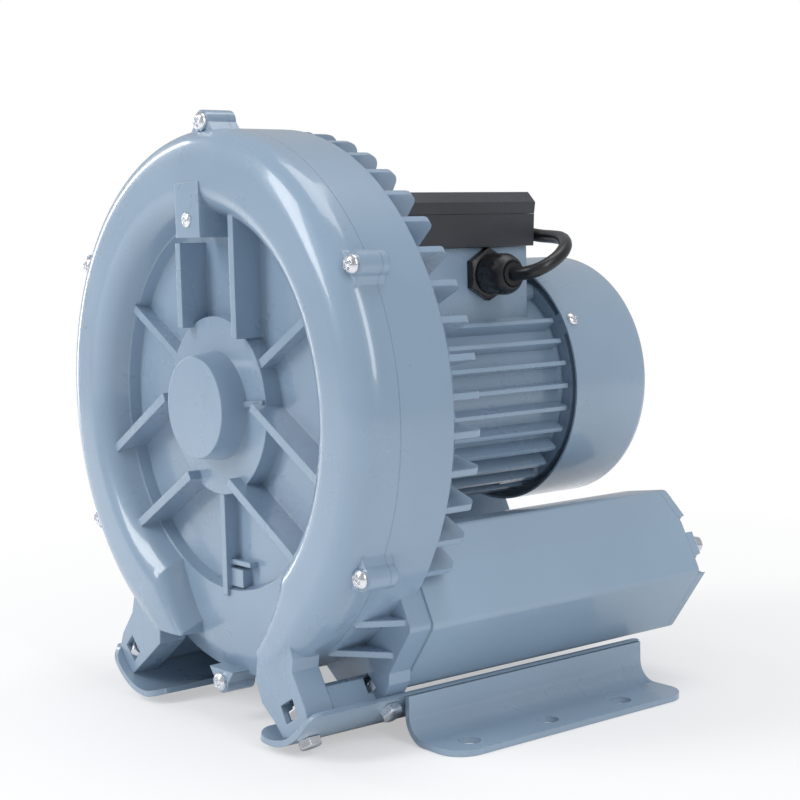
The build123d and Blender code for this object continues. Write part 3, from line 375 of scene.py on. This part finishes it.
class BLOWER_OT_finishes(bpy.types.Operator):
    """Make every finish and give it to the CAD nodes"""

    bl_idname = "blower.finishes"
    bl_label = "Make finishes"

    def execute(self, context):
        paint = context.scene.blower_paint
        grain, edge = paint.grain, paint.edge_radius
        MATERIALS["cast_paint"] = paint_material("cast_paint", paint.cast, grain, edge, 0.24, 0.36)
        MATERIALS["sheet_paint"] = paint_material(
            "sheet_paint", paint.sheet, grain * 1.6, edge * 0.5, 0.24, 0.36
        )
        # Silencer paint: the casting paint made about a tenth lighter, as painted light
        MATERIALS["silencer_paint"] = paint_material(
            "silencer_paint", paint.silencer_lit, grain * 1.2, edge, 0.38, 0.52, draw_lines=True
        )
        MATERIALS["box_plastic"] = plastic_material("box_plastic", paint.box, 1500.0, 0.26, 0.38)
        MATERIALS["gland_plastic"] = plastic_material("gland_plastic", paint.gland, 2200.0, 0.24, 0.34)
        MATERIALS["lead_jacket"] = plastic_material(
            "lead_jacket", paint.lead, 1100.0, 0.28, 0.40, 0.0, 0.00004
        )
        MATERIALS["fan_plastic"] = plastic_material("fan_plastic", (0.035, 0.035, 0.038), 1300.0, 0.45, 0.6)
        MATERIALS["block_plastic"] = plastic_material("block_plastic", (0.70, 0.67, 0.60), 1300.0, 0.4, 0.55)
        MATERIALS["can_plastic"] = plastic_material("can_plastic", (0.60, 0.60, 0.58), 900.0, 0.3, 0.42)
        MATERIALS["zinc_steel"] = metal_material(
            "zinc_steel", paint.zinc, 0.16, 0.34, tint=(0.86, 0.88, 0.93), line_scale=1400.0
        )
        MATERIALS["bearing_steel"] = metal_material("bearing_steel", (0.70, 0.70, 0.71), 0.10, 0.2, (1, 6, 1))
        MATERIALS["shaft_steel"] = metal_material("shaft_steel", (0.56, 0.57, 0.58), 0.2, 0.36, (1, 9, 1))
        MATERIALS["bare_aluminium"] = metal_material(
            "bare_aluminium", (0.66, 0.67, 0.68), 0.35, 0.55, line_scale=500.0, depth=0.0001
        )
        MATERIALS["cage_aluminium"] = metal_material(
            "cage_aluminium", (0.62, 0.63, 0.64), 0.4, 0.6, line_scale=350.0, depth=0.0001
        )
        MATERIALS["core_sheet"] = banded_material(
            "core_sheet", (0.10, 0.105, 0.115), (0.34, 0.35, 0.37), 0.0010, 0.9, 0.35, 0.55
        )
        MATERIALS["copper_wire"] = banded_material(
            "copper_wire", (0.24, 0.07, 0.02), (0.62, 0.28, 0.10), 0.0008, 0.6, 0.28, 0.45
        )
        MATERIALS["black_rubber"] = rubber_material("black_rubber", (0.014, 0.014, 0.015))
        MATERIALS["foam"] = foam_material("foam", (0.10, 0.10, 0.105))
        smooth = soft_normals_group()
        for entry in frame["record"]["subparts"]:
            node = NODES[entry["node"]]
            node.data.materials.clear()
            node.data.materials.append(material_for(entry["material_slot"]))
            modifier = node.modifiers.new("Soft normals", "NODES")
            modifier.node_group = smooth
        return {"FINISHED"}


def soft_normals_group():
    """Merge the loose triangles and shade smooth across every edge flatter than a set angle."""
    group = bpy.data.node_groups.new("Soft normals", "GeometryNodeTree")
    group.interface.new_socket("Geometry", in_out="INPUT", socket_type="NodeSocketGeometry")
    group.interface.new_socket("Geometry", in_out="OUTPUT", socket_type="NodeSocketGeometry")
    nodes, links = group.nodes, group.links
    start = nodes.new("NodeGroupInput")
    end = nodes.new("NodeGroupOutput")
    merge = nodes.new("GeometryNodeMergeByDistance")
    merge.inputs["Distance"].default_value = MERGE_GAP
    faces = nodes.new("GeometryNodeSetShadeSmooth")
    faces.domain = "FACE"
    edges = nodes.new("GeometryNodeSetShadeSmooth")
    edges.domain = "EDGE"
    angle = nodes.new("GeometryNodeInputMeshEdgeAngle")
    flat = nodes.new("FunctionNodeCompare")
    flat.data_type = "FLOAT"
    flat.operation = "LESS_EQUAL"
    flat.inputs[1].default_value = SMOOTH_EDGE
    links.new(start.outputs[0], merge.inputs["Geometry"])
    links.new(merge.outputs["Geometry"], faces.inputs["Geometry"])
    links.new(faces.outputs["Geometry"], edges.inputs["Geometry"])
    links.new(angle.outputs["Unsigned Angle"], flat.inputs[0])
    links.new(flat.outputs[0], edges.inputs["Shade Smooth"])
    links.new(edges.outputs["Geometry"], end.inputs[0])
    return group


# New pieces, computed as whole arrays

def grid_faces(rows, columns, closed_rows=False):
    """Quads of a surface grid that closes round its columns, and round its rows too if asked."""
    r = np.arange(rows if closed_rows else rows - 1)[:, None]
    c = np.arange(columns)[None, :]
    here, up = r * columns, (r + 1) % rows * columns
    right = (c + 1) % columns
    return np.stack([here + c, here + right, up + right, up + c], axis=-1).reshape(-1, 4)


def lathe(profile, count, swell=None):
    """Surface of revolution (s cos a, s sin a, t) of profile points (s, t), s times swell(a, t) if given."""
    s, t = np.asarray(profile, float).T
    a = np.linspace(0, 2 * np.pi, count, endpoint=False)[None, :]
    radius = s[:, None] * np.ones_like(a)
    if swell is not None:
        radius = radius * swell(a, t[:, None])
    return np.stack([radius * np.cos(a), radius * np.sin(a), t[:, None] + 0 * a], axis=-1).reshape(-1, 3)


def smooth_step(x, low, high):
    """3 u^2 - 2 u^3 with u = (x - low) / (high - low), held between 0 and 1."""
    u = np.clip((x - low) / (high - low), 0.0, 1.0)
    return u * u * (3 - 2 * u)


def cross_head(radius, height, shank_r, length):
    """Pan head with a cross recess, and its shank.

    The head's profile is t = height (1 - 0.62 (s / radius)^3), with a short straight side below it. The
    recess is sunk by 0.6 height (1 - 0.55 u), u and v being the distances along and across the nearest arm
    in shares of its length and half width, and it fades out where u or v is about 1.
    """
    s = np.concatenate([np.linspace(0.0, 1.0, 26) ** 0.9 * radius, [radius, shank_r, shank_r, 0.0]])
    t = height * (1 - 0.62 * (s / radius) ** 3)
    t[-4:] = (0.0, 0.0, -length, -length)
    s[0] = s[-1] = POLE_R
    points = lathe(np.stack([s, t], axis=1), COLUMNS_SCREW)
    x, y = np.abs(points[:, 0]), np.abs(points[:, 1])
    u, v = np.maximum(x, y) / (0.62 * radius), np.minimum(x, y) / (0.15 * radius)
    sunk = 0.6 * height * (1 - 0.55 * np.clip(u, 0, 1)) * (1 - smooth_step(u, 0.85, 1.05))
    sunk = sunk * (1 - smooth_step(v, 0.75, 1.25)) * (points[:, 2] > 0.3 * height)
    points[:, 2] -= sunk
    return points, grid_faces(len(s), COLUMNS_SCREW)


def gland_flutes(a, t):
    """1 - 0.055 g(t) max(0, cos 12 a)^0.7, g being 1 over the grip and 0 at its two ends."""
    grip = smooth_step(t, 0.0062, 0.0072) * (1 - smooth_step(t, 0.0150, 0.0200))
    return 1 - 0.055 * grip * np.maximum(0, np.cos(12 * a)) ** 0.7


def held_in_hexagon(points, across):
    """Points drawn in to r = (across / 2) / cos(a - 30 degrees), a counted afresh from each corner."""
    a = np.arctan2(points[:, 1], points[:, 0]) % (np.pi / 3)
    limit = across / 2 / np.cos(a - np.pi / 6)
    points[:, :2] *= np.minimum(1.0, limit / np.maximum(np.hypot(points[:, 0], points[:, 1]), 1e-9))[:, None]
    return points


def chamfer_rows(across, face, inward):
    """Cone that takes a hexagon's corners off: t = face + 0.58 inward (s - 0.46 across), s growing."""
    s = np.linspace(0.46, 0.59, 7) * across
    return np.stack([s, face + inward * (s - s[0]) * 0.58], axis=1)


def hexagon_bolt(across, height, shank_r, length):
    """Head on +Z with the corners of its face chamfered, and a plain shank."""
    rows = np.concatenate([
        [(POLE_R, height)], chamfer_rows(across, height, -1), [(0.59 * across, 0.0), (shank_r, 0.0)],
        [(shank_r, 0.0006 - length), (shank_r - 0.0006, -length), (POLE_R, -length)],
    ])
    return held_in_hexagon(lathe(rows, COLUMNS_HEXAGON), across), grid_faces(len(rows), COLUMNS_HEXAGON)


def hexagon_nut(across, height, bore_r):
    """Nut from 0 to its height with both faces chamfered, round a bore."""
    rows = np.concatenate([
        [(bore_r, height)], chamfer_rows(across, height, -1), chamfer_rows(across, 0.0, 1)[::-1],
        [(bore_r, 0.0)],
    ])
    return held_in_hexagon(lathe(rows, COLUMNS_HEXAGON), across), grid_faces(len(rows), COLUMNS_HEXAGON, True)


def placed(points, origin, axis, first=None):
    """Points made along +Z moved so that +Z is the given axis, 0 the origin and +X the first direction."""
    z = Vector(axis).normalized()
    if first is None:
        turn = np.array(Vector((0, 0, 1)).rotation_difference(z).to_matrix())
    else:
        x = Vector(first).normalized()
        turn = np.array([x, z.cross(x), z]).T
    return points @ turn.T + np.asarray(origin, float)


def surface_object(name, parts, slot, node):
    """One object from several point-and-face sets, riding the stator in the place of a CAD node."""
    points, faces, offset = [], [], 0
    for part_points, part_faces in parts:
        points.append(part_points)
        faces.append(part_faces + offset)
        offset += len(part_points)
    mesh = bpy.data.meshes.new(name)
    mesh.from_pydata(np.concatenate(points).tolist(), [], np.concatenate(faces).tolist())
    mesh.polygons.foreach_set("use_smooth", np.ones(len(mesh.polygons), bool))
    mesh.set_sharp_from_angle(angle=SHARP_EDGE)
    mesh.validate()
    mesh.materials.append(material_for(slot))
    made = bpy.data.objects.new(name, mesh)
    bpy.context.scene.collection.objects.link(made)
    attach(made, "stator")
    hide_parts(node)


class BLOWER_OT_cross_screws(bpy.types.Operator):
    """Make the pan-head screws of the cover, the pad, the cowl and the lid with their cross recesses"""

    bl_idname = "blower.cross_screws"
    bl_label = "Make cross-head screws"

    def execute(self, context):
        sizes = context.scene.blower_sizes
        points, faces = cross_head(sizes.cover_head_r, sizes.cover_head_h, *COVER_SHANK)
        screws = []
        for step in range(LUG_COUNT):
            angle = math.radians(LUG_FIRST_ANGLE + 360 / LUG_COUNT * step)
            place = from_shaft(LUG_PITCH_MM * math.cos(angle), 0, LUG_PITCH_MM * math.sin(angle))
            turn = Matrix.Rotation(CROSS_FIRST_TURN + CROSS_NEXT_TURN * step, 3, "Z")
            turned = points @ np.array(turn).T
            screws.append((placed(turned, place, FRONT), faces))
        surface_object("cover_screws_head", screws, "zinc_steel", "cover_screws")
        points, faces = cross_head(sizes.pad_head_r, sizes.pad_head_h, *PAD_SHANK)
        screw = (placed(points, from_shaft(*PAD_SCREW_PLACE), FRONT), faces)
        surface_object("pad_screw_head", [screw], "zinc_steel", "pad_screw")
        points, faces = cross_head(*COWL_SCREW)
        screws = []
        for angle in np.radians(COWL_SCREW_ANGLES):
            out = Vector((math.cos(angle), 0, math.sin(angle)))
            place = from_shaft(COWL_SCREW_R * out.x, COWL_SCREW_Y, COWL_SCREW_R * out.z)
            screws.append((placed(points, place, out), faces))
        surface_object("cowl_screws_head", screws, "zinc_steel", "cowl_screws")
        points, faces = cross_head(*LID_SCREW)
        screws = [(placed(points, from_shaft(*place), UP), faces) for place in LID_SCREW_PLACES]
        surface_object("lid_screws_head", screws, "zinc_steel", "lid_screws")
        return {"FINISHED"}


class BLOWER_OT_hexagon_bolts(bpy.types.Operator):
    """Make the chamfered hexagon bolts and nuts of the legs and the silencers"""

    bl_idname = "blower.hexagon_bolts"
    bl_label = "Make hexagon bolts"

    def execute(self, context):
        bolt, bolt_faces = hexagon_bolt(*LEG_BOLT)
        nut, nut_faces = hexagon_nut(*LEG_NUT)
        bolts, nuts = [], []
        for side, y, angle in LEG_BOLTS:
            axis = Vector((side * math.sin(math.radians(angle)), 0, -math.cos(math.radians(angle))))
            centre = from_shaft(side * TROUGH_X, y, TROUGH_Z)
            bolts.append((placed(bolt, centre + axis * LEG_BOLT_SEAT, axis, BACK), bolt_faces))
            nuts.append((placed(nut, centre + axis * LEG_NUT_SEAT, axis, BACK), nut_faces))
        surface_object("leg_bolts_head", bolts, "zinc_steel", "leg_bolts")
        surface_object("leg_nuts_hexagon", nuts, "zinc_steel", "leg_nuts")
        screw, faces = hexagon_bolt(*CAP_SCREW)
        x, y, z = CAP_SCREW_PLACE
        for word in ("left", "right"):
            node = "muffler_cap_screw_" + word
            side = math.copysign(1.0, sum(corner[0] for corner in NODES[node].bound_box))
            head = (placed(screw, from_shaft(side * x, y, z), BACK, RIGHT), faces)
            surface_object(node + "_head", [head], "zinc_steel", node)
        return {"FINISHED"}


class BLOWER_OT_gland(bpy.types.Operator):
    """Make the chamfered hexagon and the fluted nut of the cable gland"""

    bl_idname = "blower.gland"
    bl_label = "Make gland"

    def execute(self, context):
        pole = POLE_R / MM
        collar = [(pole, 13.0), (8.0, 13.0), (8.0, 5.0)]
        thread = [(14.2, 0.4), (13.8, 0.0), (9.9, 0.0), (9.9, -10.4), (9.3, -11.0), (pole, -11.0)]
        rows = np.concatenate([
            np.array(collar) * MM, chamfer_rows(GLAND_ACROSS, GLAND_HEXAGON_T, -1), np.array(thread) * MM,
        ])
        points = held_in_hexagon(lathe(rows, COLUMNS_GLAND), GLAND_ACROSS)
        body = placed(points, from_shaft(GLAND_FACE_X + GLAND_GAP, *GLAND_MM), RIGHT)
        parts = [(body, grid_faces(len(rows), COLUMNS_GLAND))]
        surface_object("gland_body_hexagon", parts, "gland_plastic", "gland_body")
        t = np.linspace(0, 1, 14)
        grip = [(8.1, 5.6), (10.3, 5.6), (10.8, 6.1), (10.8, 10.0), (10.8, 14.0)]
        dome = np.stack([10.8 - 3.3 * t**2.2, 15.0 + 7.0 * t], axis=1)
        bore = [(6.6, 22.0), (6.1, 21.5), (6.1, 13.2), (8.1, 13.2)]
        profile = np.concatenate([grip, dome, bore]) * MM
        fluted, plain = lathe(profile, COLUMNS_GLAND, gland_flutes), lathe(profile, COLUMNS_GLAND)
        inner = np.repeat(np.arange(len(profile)) >= len(profile) - len(bore), COLUMNS_GLAND)[:, None]
        nut = placed(np.where(inner, plain, fluted), from_shaft(GLAND_FACE_X, *GLAND_MM), RIGHT)
        parts = [(nut, grid_faces(len(profile), COLUMNS_GLAND, True))]
        surface_object("gland_nut_fluted", parts, "gland_plastic", "gland_nut")
        return {"FINISHED"}


# Lead

class BLOWER_OT_lead(bpy.types.Operator):
    """Lay the lead from the gland round to the back of the box"""

    bl_idname = "blower.lead"
    bl_label = "Make lead"

    def execute(self, context):
        curve = bpy.data.curves.new("lead_cord", "CURVE")
        curve.dimensions = "3D"
        spline = curve.splines.new("NURBS")
        spline.points.add(len(LEAD_ROUTE_MM) - 1)
        for point, place in zip(spline.points, LEAD_ROUTE_MM):
            point.co = (*from_shaft(*place), 1.0)
        spline.order_u = 3
        spline.use_endpoint_u = True
        spline.resolution_u = 12
        diameter = context.scene.blower_sizes.lead_diameter
        curve.bevel_depth = diameter / 2
        curve.bevel_resolution = 5
        curve.use_fill_caps = True
        lead = bpy.data.objects.new("lead_cord", curve)
        context.scene.collection.objects.link(lead)
        curve.materials.append(material_for("lead_jacket"))
        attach(lead, "stator")
        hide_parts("lead")
        return {"FINISHED"}


# Stage

def lamp(name, energy, place, size):
    """A soft area lamp that looks at the middle of the blower."""
    data = bpy.data.lights.new(name, "AREA")
    data.energy = energy
    data.shape = "RECTANGLE"
    data.size, data.size_y = size
    obj = bpy.data.objects.new(name, data)
    obj.location = place
    obj.rotation_mode = "QUATERNION"
    obj.rotation_quaternion = (LAMP_AIM - Vector(place)).to_track_quat("-Z", "Y")
    bpy.context.scene.collection.objects.link(obj)


class BLOWER_OT_stage(bpy.types.Operator):
    """Set up the camera, the pale floor and the soft light"""

    bl_idname = "blower.stage"
    bl_label = "Make stage"

    def execute(self, context):
        stage = context.scene.blower_stage
        camera_data = bpy.data.cameras.new("camera")
        camera_data.sensor_width = 36.0
        camera_data.sensor_fit = "HORIZONTAL"
        camera_data.lens = stage.lens
        camera_data.clip_end = 50.0
        camera = bpy.data.objects.new("camera", camera_data)
        context.scene.collection.objects.link(camera)
        turn = (
            Matrix.Rotation(stage.yaw, 4, "Z")
            @ Matrix.Rotation(math.pi / 2 - stage.pitch, 4, "X")
            @ Matrix.Rotation(stage.roll, 4, "Z")
        )
        camera.matrix_world = Matrix.Translation(Vector(stage.place)) @ turn
        context.scene.camera = camera
        build_floor()
        build_world(context.scene)
        lamp("key", 18.0, (-0.55, -1.5, 1.2), (0.6, 1.4))
        lamp("side", 10.0, (1.7, -0.1, 1.1), (0.4, 1.3))
        lamp("top", 9.0, (0.1, 0.4, 1.9), (1.0, 1.0))
        lamp("left", 5.0, (-1.6, -0.35, 0.55), (0.22, 1.2))
        context.scene.view_settings.view_transform = "Standard"
        return {"FINISHED"}


def build_floor():
    """A large flat floor that shows white to the camera and keeps the object's shadow."""
    mesh = bpy.data.meshes.new("floor")
    corners = [(x * FLOOR_HALF, y * FLOOR_HALF) for x, y in ((-1, -1), (1, -1), (1, 1), (-1, 1))]
    mesh.from_pydata([(x, y, -FLOOR_DROP) for x, y in corners], [], [(0, 1, 2, 3)])
    floor = bpy.data.objects.new("floor", mesh)
    bpy.context.scene.collection.objects.link(floor)
    n = Nodes("floor")
    tone = n.mixed(n.ranged(n.noise(1.5), 0.3, 0.7, 0.0, 1.0), (0.93, 0.93, 0.93, 1), (0.95, 0.95, 0.95, 1))
    n.finish(tone, n.ranged(n.noise(4.0), 0.3, 0.7, 0.85, 0.9))
    white = n.add("ShaderNodeEmission", [("Color", (1, 1, 1, 1)), ("Strength", 1.0)])
    path = n.add("ShaderNodeLightPath")
    reach = n.add("ShaderNodeVectorMath", [(0, n.coords)], operation="LENGTH").outputs["Value"]
    fade = n.ranged(reach, 0.16, 0.62, 0.45, 1.0)
    seen = n.add("ShaderNodeMath", [(0, path.outputs["Is Camera Ray"]), (1, fade)], operation="MULTIPLY")
    blend = n.add(
        "ShaderNodeMixShader", [(0, seen.outputs[0]), (1, n.shader.outputs[0]), (2, white.outputs[0])]
    )
    n.tree.links.new(blend.outputs[0], n.tree.nodes["Material Output"].inputs["Surface"])
    mesh.materials.append(n.material)


def build_world(scene):
    """Even pale light, shown as white to the camera."""
    world = bpy.data.worlds.new("studio")
    scene.world = world
    world.use_nodes = True
    tree = world.node_tree
    tree.nodes.clear()
    out = tree.nodes.new("ShaderNodeOutputWorld")
    light = tree.nodes.new("ShaderNodeBackground")
    light.inputs["Color"].default_value = (0.93, 0.96, 1.0, 1.0)
    light.inputs["Strength"].default_value = 0.46
    white = tree.nodes.new("ShaderNodeBackground")
    white.inputs["Color"].default_value = (1, 1, 1, 1)
    white.inputs["Strength"].default_value = 1.0
    path = tree.nodes.new("ShaderNodeLightPath")
    blend = tree.nodes.new("ShaderNodeMixShader")
    tree.links.new(path.outputs["Is Camera Ray"], blend.inputs[0])
    tree.links.new(light.outputs[0], blend.inputs[1])
    tree.links.new(white.outputs[0], blend.inputs[2])
    tree.links.new(blend.outputs[0], out.inputs["Surface"])


class BLOWER_PT_panel(bpy.types.Panel):
    """Lists the steps that dress the blower"""

    bl_label = "Blower"
    bl_idname = "BLOWER_PT_panel"
    bl_space_type = "VIEW_3D"
    bl_region_type = "UI"
    bl_category = "Blower"

    def draw(self, context):
        for group in (context.scene.blower_paint, context.scene.blower_sizes, context.scene.blower_stage):
            for key in group.__annotations__:
                self.layout.prop(group, key)
        for step in STEPS:
            self.layout.operator(step.bl_idname)


SETTINGS = (BlowerPaint, BlowerSizes, BlowerStage)
STEPS = (
    BLOWER_OT_finishes, BLOWER_OT_cross_screws, BLOWER_OT_hexagon_bolts, BLOWER_OT_gland, BLOWER_OT_lead,
    BLOWER_OT_stage,
)


def register():
    for item in (*SETTINGS, *STEPS, BLOWER_PT_panel):
        bpy.utils.register_class(item)
    bpy.types.Scene.blower_paint = bpy.props.PointerProperty(type=BlowerPaint)
    bpy.types.Scene.blower_sizes = bpy.props.PointerProperty(type=BlowerSizes)
    bpy.types.Scene.blower_stage = bpy.props.PointerProperty(type=BlowerStage)


def unregister():
    del bpy.types.Scene.blower_paint
    del bpy.types.Scene.blower_sizes
    del bpy.types.Scene.blower_stage
    for item in reversed((*SETTINGS, *STEPS, BLOWER_PT_panel)):
        bpy.utils.unregister_class(item)


def main():
    """Run every step in order."""
    register()
    for step in STEPS:
        group, name = step.bl_idname.split(".")
        getattr(getattr(bpy.ops, group), name)()


if __name__ == "__main__":
    main()
